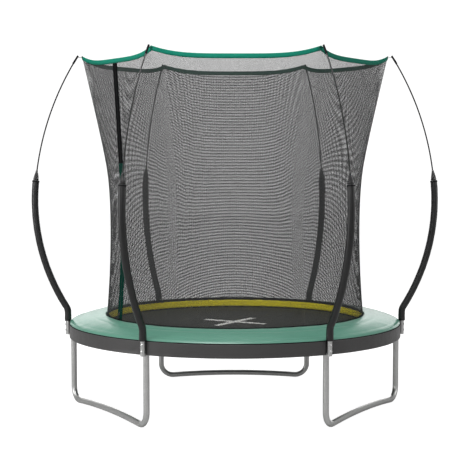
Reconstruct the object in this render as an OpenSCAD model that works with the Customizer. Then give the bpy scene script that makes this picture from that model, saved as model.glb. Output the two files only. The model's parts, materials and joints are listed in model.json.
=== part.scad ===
// Round garden trampoline with a six-pole safety net, 2.44 m across the frame.
// The origin is on the ground under the centre of the mat and +Z is up.
// Poles stand at 0, 60, 120 ... degrees and the zipped door is at 210 degrees.

/* [Frame] */
// Radius of the ring tube's centreline
ring_r = 1200; // [1195:1:1203]
// Height of the ring tube's centreline
ring_z = 576; // [574:1:578]
// Outer diameter of the ring and leg tubes
tube_d = 42; // [41:0.5:42]
// Wall of the ring and leg tubes
tube_wall = 1.5; // [1.2:0.1:1.8]
// Bend radius at the foot of a leg
leg_bend_r = 95; // [80:5:120]
// Angle at which the foot tube rises from its ends into a low arch
arch_angle = 4.1; // [2:0.1:5]

/* [Poles] */
// Radius at which the poles stand
pole_r = 1242; // [1242:1:1244]
// Height of a pole's lower end
pole_foot_z = 500; // [495:5:510]
// Outer diameter of the steel pole
pole_d = 34; // [32:1:34]
// Height where a pole starts to bend outwards
bend_z = 662; // [650:2:670]
// Radius of that bend
bend_r = 90; // [80:5:110]
// Angle that a pole leans out at after the bend
lean = 32; // [28:1:34]
// Radius of the steel pole's long curve
pole_curve_r = 1475; // [1400:25:1600]
// Turn of that curve
pole_turn = 38; // [34:1:40]
// Outer diameter of the foam sleeve
sleeve_d = 50; // [46:1:52]
// Diameter of the glass-fibre rod
rod_d = 10.5; // [8:0.5:11]
// Radius of the rod's curve
rod_curve_r = 2074; // [1900:50:2200]
// Turn of that curve
rod_turn = 26.5; // [25:0.5:28]

/* [Mat and springs] */
// Radius of the jumping mat
mat_r = 985; // [980:1:988]
// Height of the mat
mat_z = 592; // [591:0.5:592]
// Springs to each of the six ring sections
springs_per_rail = 8; // [4:2:8]
// Length of an arm of the white cross
cross_l = 525; // [400:25:700]
// Width of an arm of the white cross
cross_w = 50; // [30:5:70]

/* [Pad] */
// Inner radius of the safety pad
pad_in_r = 955; // [955:1:965]
// Height of the pad's inner edge
pad_in_z = 668; // [664:1:672]
// Outer radius of the safety pad
pad_out_r = 1223; // [1222:0.5:1223]
// Height of the skirt that hangs from the pad
skirt_h = 94; // [80:2:110]

/* [Net] */
// Radius of the net at its waist
waist_r = 917; // [905:1:917]
// Height of the waist
waist_z = 1330; // [1300:10:1350]
// Radius of the net's inward curve
net_curve_r = 7200; // [6500:100:8000]
// Height of the net's lower edge
net_foot_z = 600; // [600:1:604]
// Height of the net's top edge at a pole
net_top_z = 2557; // [2500:1:2560]
// Drop of the top edge between two poles
hem_drop = 52; // [20:2:80]
// Width of the hem
hem_w = 30; // [25:1:35]
// Height of the top of the zip
zip_top_z = 1774; // [1600:2:1800]

/* [Hidden] */
poles = 6;
sector = 360 / poles;
fine = 256;     // fragments of long arcs
round_fn = 64;  // fragments of a tube's section
joint = 0.4;    // gap at a butt joint
band = 0.2;     // extra diameter of the band over it

// Frame
socket_d = tube_d - 2 * tube_wall - 0.6;
socket_foot_z = 480;
leg_top_z = 552;
tongue_angle = 2.9;
screw_angle = 1.5;
bolt_d = 8;
bolt_hole_d = 8.4;
bolt_heights = [533, ring_z];
bolt_head_r = 8.5;
nut_h = 6.5;
nut_d = 15;
screw_d = 6;
spring_step = sector / springs_per_rail;
leg_span = 2 * ring_r * sin(sector / 2);
leg_plane_r = ring_r * cos(sector / 2);

// Poles and rods
wall_pole = 1.5;
rod_socket = 50;
rod_stub = 62;
cap_h = 72;
pocket_turn = 1.9;
pocket_d = 16;
sleeve_foot_z = 602;
tie_h = 7;

// Mat and springs
mat_t = 2;
web_w = 40;
web_t = 1.5;
tab_w = 28;
hook_d = 3;
coil_d = 16;
coil_start_r = 1040;
coil_end_r = 1150;
hook_end_r = 1184;
v_tip_r = 1020;
bar_r = mat_r + 8;
cross_angle = -32;

// Pad
pad_foot_z = 599.5;
skirt_t = 1.4;
skirt_gap = 26;

// Net
net_t = 1.2;
net_axis_r = waist_r + net_curve_r;
door_angle = 210;
hexagon_slope = 0.17;
hexagon_z = 1700;
hexagon_blend = 200;
skin = 0.3;
tape_w = 70;
seam_turn = 2.1;   // half the width of the seam over the zip, in degrees
tape_t = 1.6;
coil_w = 5;
coil_h = 2.2;
zip_foot_z = 655;
slider_z = 712;
pin_x = 13.4;
net_steps_u = 8;
net_steps_v = 16;

steel = "silver";
black = [0.08, 0.08, 0.08];
green = [0.4, 0.66, 0.57];

// The section of a tube, or of a solid bar when the bore is 0
module section(d, bore)
    difference() {
        circle(d = d, $fn = round_fn);
        if (bore > 0) circle(d = bore, $fn = round_fn);
    }

// A bend from +Z towards +X, or towards -X when the angle is negative
module bend(d, bore, r, angle)
    mirror([angle > 0 ? 1 : 0, 0, 0]) translate([-r, 0, 0]) rotate([90, 0, 0])
        rotate_extrude(angle = abs(angle), $fn = fine) translate([r, 0]) section(d, bore);

// A tube along steps of [straight length, bend radius, bend angle]. A hair-thin band covers
// each butt joint between one step and the next.
module tube(d, bore, steps, i = 0)
    if (i < len(steps)) {
        r = steps[i][1];
        angle = steps[i][2];
        if (i > 0) translate([0, 0, -1]) linear_extrude(2)
            section(d + band, bore > 0 ? bore - band : 0);
        if (steps[i][0] > 0) linear_extrude(steps[i][0]) section(d, bore);
        translate([0, 0, steps[i][0]]) {
            if (angle != 0) bend(d, bore, r, angle);
            translate([sign(angle) * r * (1 - cos(angle)), 0, r * sin(abs(angle))])
                rotate([0, angle, 0]) translate([0, 0, joint]) tube(d, bore, steps, i + 1);
        }
    }

// Puts its children at each pole, with +X outwards
module at_poles(list = [0:poles - 1], r = 0, turn = 0)
    for (i = list) rotate([0, 0, sector * i + turn]) translate([r, 0, 0]) children();

// Moves its children to the end of the steel pole's curve, less a given turn
module at_pole_top(back = 0) {
    start = bend_r * [1 - cos(lean), sin(lean)] + joint * [sin(lean), cos(lean)];
    top = lean - pole_turn + back;
    end = start + pole_curve_r * [cos(top) - cos(lean), sin(lean) - sin(top)];
    translate([end[0], 0, bend_z + end[1]]) rotate([0, top, 0]) children();
}

// Where the rod's centreline is after a given turn, seen from the top of the steel pole
function on_rod(turn) = rod_curve_r * [cos(turn) - 1, sin(turn)] + [0, rod_stub - rod_socket];

module bolt_holes()
    for (z = bolt_heights)
        translate([ring_r - 60, 0, z]) rotate([0, 90, 0])
            cylinder(d = bolt_hole_d, h = 140, $fn = 32);

module ring_arc(d, from, to)
    rotate([0, 0, from]) rotate_extrude(angle = to - from, $fn = fine)
        translate([ring_r, 0]) circle(d = d, $fn = round_fn);

// One sixth of the ring, with a welded leg socket, a swaged tongue and the spring holes
module rail(i)
    color(steel) rotate([0, 0, sector * i]) difference() {
        half = sector / 2;
        union() {
            translate([0, 0, ring_z]) ring_arc(tube_d, -half, half);
            translate([ring_r, 0, socket_foot_z])
                cylinder(d = socket_d, h = ring_z - socket_foot_z, $fn = round_fn);
            translate([0, 0, ring_z]) ring_arc(socket_d, half - 1, half + tongue_angle);
        }
        translate([0, 0, ring_z]) {
            ring_arc(tube_d - 2 * tube_wall, -half - 1, half - 0.9);
            ring_arc(socket_d - 2 * tube_wall, half - 1, half + tongue_angle + 1);
        }
        translate([ring_r, 0, socket_foot_z - 1])
            cylinder(d = socket_d - 2 * tube_wall, h = ring_z - tube_d / 2 - socket_foot_z,
                $fn = round_fn);
        bolt_holes();
        for (a = [-half + screw_angle, half + screw_angle])
            rotate([0, 0, a]) translate([ring_r, 0, ring_z - tube_d])
                cylinder(d = screw_d + 0.2, h = tube_d, $fn = 32);
        for (k = [0:springs_per_rail - 1])
            rotate([0, 0, (k + 0.5) * spring_step - half]) translate([ring_r, 0, ring_z])
                rotate([0, -45, 0]) translate([0, 0, tube_d / 2 - 6])
                    cylinder(d = 7, h = 10, $fn = 32);
    }

module rail_screws()
    color(steel) at_poles(r = ring_r, turn = sector / 2 + screw_angle) {
        translate([0, 0, ring_z - tube_d / 2 - 4.2]) cylinder(d = 11, h = 4, $fn = 6);
        translate([0, 0, ring_z - tube_d / 2 - 1]) cylinder(d = screw_d, h = 12, $fn = 32);
    }

// A U-shaped leg under the posts at two neighbouring poles
module leg(middle) {
    foot_z = tube_d / 2;
    foot_half = leg_span / 2 - leg_bend_r * (1 + sin(arch_angle)) - joint * cos(arch_angle);
    arch_r = foot_half / sin(arch_angle);
    post_h = leg_top_z - foot_z - leg_bend_r;
    steps = [[post_h, leg_bend_r, -90 - arch_angle], [0, arch_r, 2 * arch_angle],
        [0, leg_bend_r, -90 - arch_angle], [post_h - joint, 0, 0]];
    color(steel) difference() {
        rotate([0, 0, middle]) translate([leg_plane_r, 0, leg_top_z]) rotate([180, 0, 90])
            translate([leg_span / 2, 0, 0]) tube(tube_d, tube_d - 2 * tube_wall, steps);
        for (side = [-1, 1]) rotate([0, 0, middle + side * sector / 2]) bolt_holes();
    }
}

module pole_spacers()
    color(black) at_poles() difference() {
        translate([ring_r + tube_d / 2 - 5, -11, 517]) cube([10, 22, 80]);
        translate([ring_r, 0, 500])
            cylinder(d = tube_d + 0.6, h = ring_z - 500, $fn = round_fn);
        translate([0, 0, ring_z]) rotate([0, 0, -4]) ring_arc(tube_d + 0.8, 0, 8);
        translate([pole_r, 0, 500]) cylinder(d = pole_d + 0.4, h = 100, $fn = round_fn);
        bolt_holes();
    }

module pole_bolts() {
    head_x = pole_r + pole_d / 2;
    nut_x = ring_r - tube_d / 2;
    color(steel) at_poles() for (z = bolt_heights) translate([0, 0, z]) rotate([0, 90, 0]) {
        translate([0, 0, nut_x - nut_h - 4]) cylinder(d = bolt_d, h = head_x - nut_x + nut_h + 4.1);
        translate([0, 0, head_x]) intersection() {
            cylinder(r = bolt_head_r, h = 5);
            translate([0, 0, -6]) sphere(r = 10.6);
        }
    }
}

module pole_nuts()
    color(steel) at_poles() for (z = bolt_heights)
        translate([ring_r - tube_d / 2 - nut_h - 0.1, 0, z]) rotate([0, 90, 0]) difference() {
            cylinder(d = nut_d, h = nut_h, $fn = 6);
            translate([0, 0, -1]) cylinder(d = bolt_d + 0.1, h = nut_h + 2);
        }

// Steel pole: a bolted foot, a bend and a long curve
module pole(i)
    color(steel) difference() {
        at_poles([i], pole_r) translate([0, 0, pole_foot_z])
            tube(pole_d, pole_d - 2 * wall_pole,
                [[bend_z - pole_foot_z, bend_r, lean], [0, pole_curve_r, -pole_turn]]);
        at_poles([i]) bolt_holes();
    }

module sleeve(i)
    color(black) at_poles([i], pole_r) translate([0, 0, sleeve_foot_z])
        tube(sleeve_d, pole_d + 0.6,
            [[bend_z - sleeve_foot_z, bend_r, lean], [0, pole_curve_r, -pole_turn]]);

// Plug in the top of each steel pole that holds the rod
module rod_ferrules()
    color("dimgray") at_poles(r = pole_r) at_pole_top() difference() {
        union() {
            translate([0, 0, -rod_socket - 5])
                cylinder(d = pole_d - 2 * wall_pole - 3.2, h = rod_socket + 5.2);
            translate([0, 0, 0.1]) cylinder(d = pole_d, h = 3);
            translate([0, 0, 3]) cylinder(d1 = 22, d2 = 16, h = 12);
        }
        translate([0, 0, -rod_socket - 1]) cylinder(d = rod_d + 0.4, h = rod_socket + 20);
    }

module sleeve_caps()
    color(black) at_poles(r = pole_r) at_pole_top() translate([0, 0, 3.4]) difference() {
        cylinder(d1 = sleeve_d - 3, d2 = rod_d + 5, h = cap_h);
        translate([0, 0, -0.1]) cylinder(d1 = sleeve_d - 7, d2 = rod_d + 1.6, h = cap_h - 6);
        cylinder(d = rod_d + 2.4, h = cap_h + 1);
    }

module tie_rings()
    color(black) at_poles(r = pole_r) at_pole_top(back = 0.35) rotate_extrude()
        translate([sleeve_d / 2 + 0.3, -tie_h / 2]) square([2.2, tie_h]);

module rod(i)
    color("gray") at_poles([i], pole_r) at_pole_top() translate([0, 0, -rod_socket])
        tube(rod_d, 0, [[rod_stub, rod_curve_r, -rod_turn]]);

// Pockets at the net's corners that slip over the rods' tips
module rod_pockets()
    color(black) at_poles(r = pole_r) at_pole_top() {
        middle = on_rod(rod_turn - pocket_turn / 2);
        half = rod_curve_r * sin(pocket_turn / 2);
        translate([middle[0], 0, middle[1]]) rotate([0, pocket_turn / 2 - rod_turn, 0]) difference() {
            union() {
                translate([0, 0, -half]) cylinder(d = pocket_d, h = 2 * half + 7, $fn = round_fn);
                translate([-26, -9, half - 8]) cube([26.2 - pocket_d / 2, 18, 12]);
            }
            translate([0, 0, -half - 1]) cylinder(d = rod_d + 1.6, h = 2 * half + 4, $fn = round_fn);
        }
    }

module at_springs()
    for (k = [0:poles * springs_per_rail - 1])
        rotate([0, 0, (k + 0.5) * spring_step]) translate([0, 0, mat_z]) children();

module lying_rod(d, from, to)
    translate([from, 0, 0]) rotate([0, 90, 0]) cylinder(d = d, h = to - from, $fn = 24);

// Each spring is a hollow coil with a straight hook at either end
module springs()
    color(steel) at_springs() difference() {
        union() {
            lying_rod(coil_d, coil_start_r, coil_end_r);
            lying_rod(hook_d, v_tip_r + 1, coil_start_r + 1);
            lying_rod(hook_d, coil_end_r - 1, hook_end_r);
        }
        lying_rod(coil_d - 2 * hook_d, coil_start_r + hook_d, coil_end_r - hook_d);
    }

// Triangular wire rings that link the mat's edge to the springs
module v_rings()
    color(steel) at_springs() translate([0, 0, -hook_d / 2]) linear_extrude(hook_d)
        difference() {
            polygon([[bar_r - 1.5, -21], [bar_r - 1.5, 21], [v_tip_r, 4], [v_tip_r, -4]]);
            polygon([[bar_r + 1.5, -16.5], [bar_r + 1.5, 16.5], [v_tip_r - 3.2, 2], [v_tip_r - 3.2, -2]]);
        }

// Webbing loops that hold the rings' straight sides
module mat_tabs()
    color(black) at_springs() translate([mat_r + 0.5, 0, 0]) difference() {
        translate([0, -tab_w / 2, -3.5]) cube([12, tab_w, 7]);
        translate([5.5, -tab_w / 2 - 1, -2]) cube([4, tab_w + 2, 4]);
    }

module mat()
    color(black) translate([0, 0, mat_z - mat_t / 2]) cylinder(r = mat_r, h = mat_t, $fn = fine);

module mat_webbing()
    color(black) translate([0, 0, mat_z + mat_t / 2 + 0.1]) difference() {
        cylinder(r = mat_r, h = web_t, $fn = fine);
        translate([0, 0, -1]) cylinder(r = mat_r - web_w, h = web_t + 2, $fn = fine);
    }

module mat_cross()
    color("white") translate([0, 0, mat_z + mat_t / 2 + 0.1]) linear_extrude(0.8)
        for (a = [cross_angle, cross_angle + 90]) rotate(a) square([cross_l, cross_w], center = true);

// Foam pad in its cover: high at the mat, low over the ring, relieved round the sleeves
module pad()
    color(green) difference() {
        rotate_extrude($fn = fine) polygon([
            [pad_in_r + 4, pad_in_z - 23], [pad_in_r, pad_in_z - 18], [pad_in_r, pad_in_z - 6],
            [pad_in_r + 4, pad_in_z - 1], [pad_in_r + 16, pad_in_z],
            [ring_r - 90, pad_foot_z + 44], [ring_r - 20, pad_foot_z + 24],
            [ring_r, pad_foot_z + 17], [pad_out_r - 9, pad_foot_z + 11],
            [pad_out_r - 2, pad_foot_z + 5], [pad_out_r, pad_foot_z],
            [ring_r - 21, pad_foot_z], [ring_r - 50, pad_foot_z + 5]]);
        at_poles(r = pole_r) translate([0, 0, pad_foot_z - 1])
            cylinder(d = sleeve_d + 0.8, h = 60, $fn = round_fn);
    }

module pad_skirt()
    color([0.24, 0.24, 0.24]) difference() {
        translate([0, 0, pad_foot_z - skirt_h]) difference() {
            cylinder(r = pad_out_r + 0.8, h = skirt_h - 0.3, $fn = fine);
            translate([0, 0, -1])
                cylinder(r = pad_out_r + 0.8 - skirt_t, h = skirt_h + 2, $fn = fine);
        }
        at_poles(r = pad_out_r) translate([-10, -skirt_gap / 2, pad_foot_z - skirt_h - 1])
            cube([20, skirt_gap, skirt_h - 0.5]);
    }

// Elastic straps that hold the pad's underside to the ring
module pad_ties()
    color(black) for (i = [0:poles - 1], a = [15, 45])
        rotate([0, 0, sector * i + a]) translate([ring_r, 0, ring_z]) rotate([90, 0, 0])
            rotate([0, 0, 75]) rotate_extrude(angle = 215)
                translate([tube_d / 2 + 0.4, -10]) square([1.5, 20]);

// Radius of the net's outer face midway between two poles
function mid_r(z) = z < zip_top_z
    ? net_axis_r - sqrt(pow(net_curve_r, 2) - pow(z - waist_z, 2))
    : mid_r(zip_top_z - 0.001) + (z - zip_top_z) * (zip_top_z - waist_z) / net_curve_r;

// How much further out the net is at a pole than midway
function corner_r(z) = let (u = z - hexagon_z)
    hexagon_slope / 2 * (u + sqrt(u * u + pow(hexagon_blend, 2)));

// 0 midway between two poles and 1 at a pole, along a straight side
function side(a) = (1 / cos(a % sector - sector / 2) - 1) / (1 / cos(sector / 2) - 1);
function net_r(a, z) = mid_r(z) + corner_r(z) * side(a);
function hem_z(a) = net_top_z - hem_drop * (1 - pow(side(a), 2));
function on_net(a, z, offset) = let (r = net_r(a, z) + offset) [r * cos(a), r * sin(a), z];

// A thin wall from one face's grid of points to the other's
module wall(outer, inner) {
    rows = len(outer);
    n = len(outer[0]);
    total = rows * n;
    points = concat([for (row = outer) each row], [for (row = inner) each row]);
    skins = [for (v = [0:rows - 2], u = [0:n - 2], half = [0, 1]) let (k = v * n + u)
        half == 0 ? [k, k + 1, k + n + 1] : [k, k + n + 1, k + n]];
    loop = concat([for (u = [0:n - 1]) u], [for (v = [1:rows - 1]) v * n + n - 1],
        [for (u = [n - 2:-1:0]) (rows - 1) * n + u], [for (v = [rows - 2:-1:1]) v * n]);
    edges = [for (k = [0:len(loop) - 1], half = [0, 1])
        let (p = loop[k], q = loop[(k + 1) % len(loop)])
        half == 0 ? [p, q, q + total] : [p, q + total, p + total]];
    polyhedron(points, concat([for (t = skins) [t[2], t[1], t[0]]],
        [for (t = skins) t + [total, total, total]], edges), convexity = 6);
}

// One mesh panel between two poles
module net(i) {
    angles = [for (u = [0:net_steps_u]) sector * (i + u / net_steps_u)];
    faces = [for (offset = [0, -net_t])
        concat([for (v = [0:net_steps_v]) [for (a = angles)
            on_net(a, net_foot_z + (hem_z(a) - hem_w - net_foot_z) * v / net_steps_v, offset)]],
            [[for (a = angles) on_net(a, hem_z(a), offset)]])];
    color([0.3, 0.3, 0.3, 0.5]) wall(faces[0], faces[1]);
}

// Folded band along the top edge, outside the mesh
module net_hem()
    color([0.1, 0.6, 0.48]) for (i = [0:poles - 1]) {
        angles = [for (u = [0:net_steps_u]) sector * (i + u / net_steps_u)];
        faces = [for (offset = [2 + skin, skin])
            [for (drop = [hem_w, 0]) [for (a = angles) on_net(a, hem_z(a) - drop, offset)]]];
        wall(faces[0], faces[1]);
    }

module net_piping()
    color(black) translate([0, 0, zip_foot_z + 3]) rotate_extrude($fn = fine)
        translate([mid_r(zip_foot_z) - net_t - 5.5, 0]) circle(d = 7, $fn = 32);

// Band at the net's foot that reaches down to the mat
module net_band()
    color("gold") rotate_extrude($fn = fine) {
        low = mid_r(net_foot_z) - net_t - 3;
        high = mid_r(zip_foot_z - 5) - net_t - 3;
        polygon([[low - 1.8, net_foot_z], [low, net_foot_z],
            [high, zip_foot_z - 4], [high - 1.8, zip_foot_z - 4]]);
    }

// A band on the net's outer face along the door line, from one height to another
module door_arc(w, t, offset, from, to) {
    low = asin((waist_z - from) / net_curve_r);
    high = asin((to - waist_z) / net_curve_r);
    rotate([0, 0, door_angle]) translate([net_axis_r, 0, waist_z]) rotate([90, 0, 0])
        rotate([0, 0, 180 - high]) rotate_extrude(angle = high + low, $fn = fine)
            translate([net_curve_r - offset - t, -w / 2]) square([t, w]);
}

module door_seam() {
    low = zip_top_z + 1;
    high = net_top_z - hem_drop - hem_w - 2;
    angles = [door_angle - seam_turn, door_angle, door_angle + seam_turn];
    faces = [for (offset = [1.6 + skin, skin])
        [for (z = [low, (low + high) / 2, high]) [for (a = angles) on_net(a, z, offset)]]];
    color(black) wall(faces[0], faces[1]);
}

module zip_tape()
    color([0.04, 0.36, 0.28]) door_arc(tape_w, tape_t, skin, zip_foot_z + 16, zip_top_z);

module zip_coil()
    color(black) door_arc(coil_w, coil_h, skin + tape_t, zip_foot_z + 20, zip_top_z - 2);

module zip_foot()
    color(black) door_arc(tape_w - 4, 3, skin, zip_foot_z - 12, zip_foot_z + 15.5);

// Moves its children to the slider's place on the net's outer face, with +X outwards
module at_slider() {
    tilt = asin((waist_z - slider_z) / net_curve_r);
    rotate([0, 0, door_angle]) translate([net_axis_r, 0, waist_z]) rotate([0, -tilt, 0])
        translate([-net_curve_r, 0, 0]) children();
}

module zip_slider() {
    back = skin + tape_t + 0.6;
    front = back + 6;
    color("lightgray") at_slider() {
        difference() {
            translate([back, -6.5, -12]) cube([front - back, 13, 24]);
            translate([back - 1, -coil_w / 2 - 1, -13]) cube([coil_h + 2, coil_w + 2, 26]);
        }
        for (y = [-6, 3]) translate([front - 0.1, y, -3.5]) cube([pin_x + 3 - front, 3, 7]);
        translate([pin_x, -4, 0]) rotate([-90, 0, 0]) cylinder(d = 4, h = 8, $fn = round_fn);
    }
}

module zip_pull()
    color("white") at_slider() translate([pin_x, 0, 0]) difference() {
        union() {
            rotate([90, 0, 0]) cylinder(d = 7.6, h = 5.4, center = true, $fn = round_fn);
            translate([-1, -2.7, -10]) cube([2, 5.4, 8]);
            translate([-1, -4.5, -38]) cube([2, 9, 30]);
        }
        rotate([90, 0, 0]) cylinder(d = 4.1, h = 12, center = true, $fn = round_fn);
        translate([0, 0, -32]) rotate([0, 90, 0]) cylinder(d = 4, h = 6, center = true, $fn = 32);
    }

for (i = [0:poles - 1]) {
    rail(i);
    pole(i);
    sleeve(i);
    rod(i);
    net(i);
}
rail_screws();
leg(210);  // leg_left
leg(330);  // leg_right
leg(90);  // leg_back
pole_spacers();
pole_bolts();
pole_nuts();
rod_ferrules();
sleeve_caps();
tie_rings();
rod_pockets();
springs();
v_rings();
mat_tabs();
mat();
mat_webbing();
mat_cross();
pad();
pad_skirt();
pad_ties();
net_hem();
net_piping();
net_band();
door_seam();
zip_tape();
zip_coil();
zip_foot();
zip_slider();
zip_pull();
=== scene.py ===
import json
import math
import bmesh
import bpy
from mathutils import Matrix, Vector, noise


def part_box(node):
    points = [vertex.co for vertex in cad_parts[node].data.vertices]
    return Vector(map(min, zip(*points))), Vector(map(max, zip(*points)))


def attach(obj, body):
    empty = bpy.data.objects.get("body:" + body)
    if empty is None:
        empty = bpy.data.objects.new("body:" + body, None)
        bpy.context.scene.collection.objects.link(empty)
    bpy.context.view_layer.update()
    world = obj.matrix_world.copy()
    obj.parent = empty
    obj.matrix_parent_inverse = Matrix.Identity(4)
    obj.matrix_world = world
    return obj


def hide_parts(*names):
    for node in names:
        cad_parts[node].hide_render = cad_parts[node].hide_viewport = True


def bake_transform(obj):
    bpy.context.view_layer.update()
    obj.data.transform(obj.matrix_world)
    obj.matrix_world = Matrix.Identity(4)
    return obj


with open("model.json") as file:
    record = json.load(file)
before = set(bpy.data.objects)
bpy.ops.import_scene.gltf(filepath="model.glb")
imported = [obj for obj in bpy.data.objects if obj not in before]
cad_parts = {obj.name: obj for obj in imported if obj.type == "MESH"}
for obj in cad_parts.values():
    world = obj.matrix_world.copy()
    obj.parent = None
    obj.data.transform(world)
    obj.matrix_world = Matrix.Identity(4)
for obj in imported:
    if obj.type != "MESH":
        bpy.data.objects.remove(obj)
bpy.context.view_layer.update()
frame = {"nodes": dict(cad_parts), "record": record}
rad = math.radians
poleCount = 6
sector = rad(60)               # from one pole to the next
wedges = 24                    # the mat and its fittings are cut into this many wedges
firstWedge = rad(-32)          # middle of the first wedge, along one arm of the cross


# Mesh helpers

def makePiece(bm, name, material, slot, body="frame", replaced=(), smooth=True, crisp=False):
    mesh = bpy.data.meshes.new(name)
    for face in bm.faces:
        face.smooth = smooth
    if crisp:                  # cut edges stay sharp, so neighbouring pieces of cloth shade as one
        for edge in bm.edges:
            edge.smooth = edge.calc_face_angle(0) < rad(60)
    bm.to_mesh(mesh)
    bm.free()
    mesh.materials.append(material)
    piece = bpy.data.objects.new(name, mesh)
    bpy.context.scene.collection.objects.link(piece)
    if body:
        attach(piece, body)
    if replaced:
        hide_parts(*replaced)
    return piece


def vertsOf(items):
    return [item for item in items if isinstance(item, bmesh.types.BMVert)]


def edgesOf(items):
    return [item for item in items if isinstance(item, bmesh.types.BMEdge)]


def turn(bm, angle, axis="Z", verts=None):          # about the origin
    bmesh.ops.rotate(bm, cent=(0, 0, 0), matrix=Matrix.Rotation(angle, 3, axis),
                     verts=bm.verts if verts is None else verts)


def shift(bm, move, verts=None):
    bmesh.ops.translate(bm, vec=move, verts=bm.verts if verts is None else verts)


def soften(bm, edges, width):                       # a small rounded bevel
    bmesh.ops.bevel(bm, geom=edges, offset=width, segments=2, affect="EDGES", profile=0.5, material=-1)


def flatUv(bm):                # a map in metres, taken while the cloth still lies flat
    layer = bm.loops.layers.uv.verify()
    for face in bm.faces:
        for loop in face.loops:
            loop[layer].uv = loop.vert.co.xy


def cutCloth(width, height, thickness, columns, rows):
    bm = bmesh.new()
    bmesh.ops.create_grid(bm, x_segments=columns, y_segments=rows, size=0.5)
    bmesh.ops.scale(bm, vec=(width, height, 1), verts=bm.verts)
    bmesh.ops.solidify(bm, geom=bm.faces[:], thickness=thickness)
    underside = min(vert.co.z for vert in bm.verts)
    shift(bm, (width / 2, height / 2, -underside))
    flatUv(bm)
    return bm


def wrap(bm, place):
    for vert in bm.verts:
        vert.co = place(vert.co)
    bmesh.ops.recalc_face_normals(bm, faces=bm.faces)


def ruffle(bm, amount, size, seed, keep=None):      # small uneven swells along the normals
    bm.normal_update()
    moves = []
    for vert in bm.verts:
        share = keep(vert.co) if keep else 1
        swell = noise.noise(vert.co / size + Vector((seed, seed * 0.7, 0)))
        moves.append(vert.normal * (swell * amount * share))
    for vert, move in zip(bm.verts, moves):
        vert.co += move
    bm.normal_update()


def spinProfile(points, steps):                     # a closed outline of (r, z) turned about Z
    bm = bmesh.new()
    verts = [bm.verts.new((r, 0, z)) for r, z in points]
    edges = [bm.edges.new((verts[i - 1], verts[i])) for i in range(len(verts))]
    bmesh.ops.spin(bm, geom=verts + edges, cent=(0, 0, 0), axis=(0, 0, 1), angle=math.tau,
                   steps=steps, use_merge=True)
    bmesh.ops.remove_doubles(bm, verts=bm.verts, dist=1e-6)
    bmesh.ops.recalc_face_normals(bm, faces=bm.faces)
    layer = bm.loops.layers.uv.verify()
    for face in bm.faces:
        middle = face.calc_center_median()
        start = math.atan2(middle.y, middle.x)
        for loop in face.loops:
            x, y, z = loop.vert.co
            around = (math.atan2(y, x) - start + math.pi) % math.tau - math.pi
            loop[layer].uv = ((start + around) * middle.xy.length, z + math.hypot(x, y))
    return bm


def roundOutline(radius, height, thick, sides):     # a cord's section, for spinProfile
    angles = [math.tau * k / sides for k in range(sides)]
    return [(radius + thick * math.cos(angle), height + thick * math.sin(angle)) for angle in angles]


def turnedCopies(bm, count, step):
    source = bm.verts[:] + bm.edges[:] + bm.faces[:]
    for i in range(1, count):
        turn(bm, step * i, verts=vertsOf(bmesh.ops.duplicate(bm, geom=source)["geom"]))


def moveInto(bm, other):                            # adds one mesh to another
    spare = bpy.data.meshes.new("spare")
    other.to_mesh(spare)
    other.free()
    bm.from_mesh(spare)
    bpy.data.meshes.remove(spare)


def wire(points, radius, cyclic=False):             # a six-sided wire along points
    curve = bpy.data.curves.new("wire", "CURVE")
    curve.dimensions = "3D"
    curve.bevel_depth = radius
    curve.bevel_resolution = 1
    curve.use_fill_caps = True
    spline = curve.splines.new("POLY")
    spline.points.add(len(points) - 1)
    for target, point in zip(spline.points, points):
        target.co = (*point, 1)
    spline.use_cyclic_u = cyclic
    holder = bpy.data.objects.new("wire", curve)
    bpy.context.scene.collection.objects.link(holder)
    mesh = bpy.data.meshes.new_from_object(holder.evaluated_get(bpy.context.evaluated_depsgraph_get()))
    bpy.data.objects.remove(holder)
    bpy.data.curves.remove(curve)
    bm = bmesh.new()
    bm.from_mesh(mesh)
    bpy.data.meshes.remove(mesh)
    return bm


def polar(radius, angle, z=0.0):
    return Vector((radius * math.cos(angle), radius * math.sin(angle), z))


# Material helpers

def linear(red, green, blue):                       # a screen colour from 0 to 255, as light
    def convert(value):
        value /= 255
        return value / 12.92 if value <= 0.04045 else ((value + 0.055) / 1.055) ** 2.4
    return (convert(red), convert(green), convert(blue), 1)


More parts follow.
